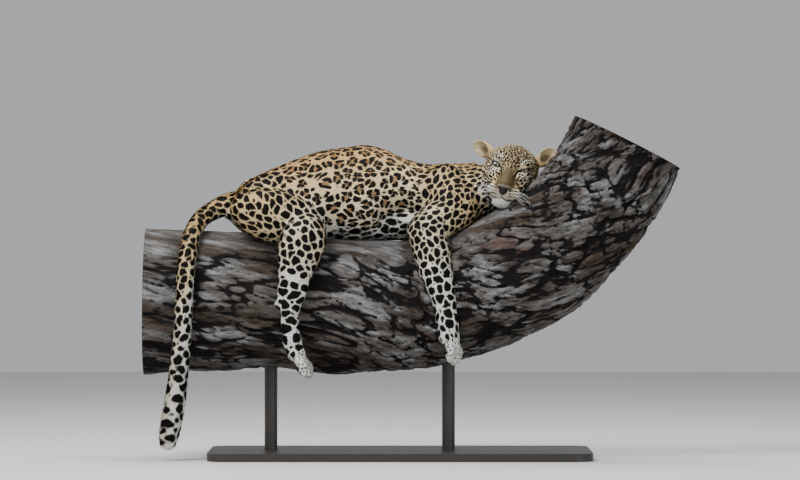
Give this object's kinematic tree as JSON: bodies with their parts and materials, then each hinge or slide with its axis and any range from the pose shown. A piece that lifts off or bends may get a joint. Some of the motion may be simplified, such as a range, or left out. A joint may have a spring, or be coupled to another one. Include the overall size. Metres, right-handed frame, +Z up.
{
  "type": "leopard draped along a tree limb",
  "caption": "Life-size leopard resting along a cut length of thick tree limb, legs and tail hanging, on a plain display stand.",
  "frame": {"origin": "centre of the stand's underside, on the floor", "axes": "+Z up, +X along the limb from the tail towards the chest and head, -Y the animal's right side"},
  "size_m": [1.6561, 0.5758, 1.0578],
  "materials": {
    "coat": "short fur, tawny with black rosettes, white below",
    "nose": "dark bare skin, slightly moist",
    "eye": "glossy, grey-green",
    "bark": "rough furrowed bark, matt",
    "stand": "dark painted wood, satin",
    "rod": "dark painted steel, satin"
  },
  "bodies": {
    "root": {"head": "coat", "neck": "coat", "chest": "coat", "belly": "coat", "hips": "coat", "upper_arm_right": "coat", "forearm_right": "coat", "forepaw_right": "coat", "thigh_right": "coat", "shank_right": "coat", "metatarsus_right": "coat", "hind_paw_right": "coat", "upper_arm_left": "coat", "forearm_left": "coat", "forepaw_left": "coat", "thigh_left": "coat", "shank_left": "coat", "metatarsus_left": "coat", "hind_paw_left": "coat", "tail_root": "coat", "tail_upper": "coat", "tail_middle": "coat", "tail_lower": "coat", "tail_tip": "coat", "ear_right": "coat", "ear_left": "coat", "nose_pad": "nose", "eye_right": "eye", "eye_left": "eye", "perch_limb": "bark", "stand_base": "stand", "stand_rod_rear": "rod", "stand_rod_front": "rod"}
  },
  "joints": []
}
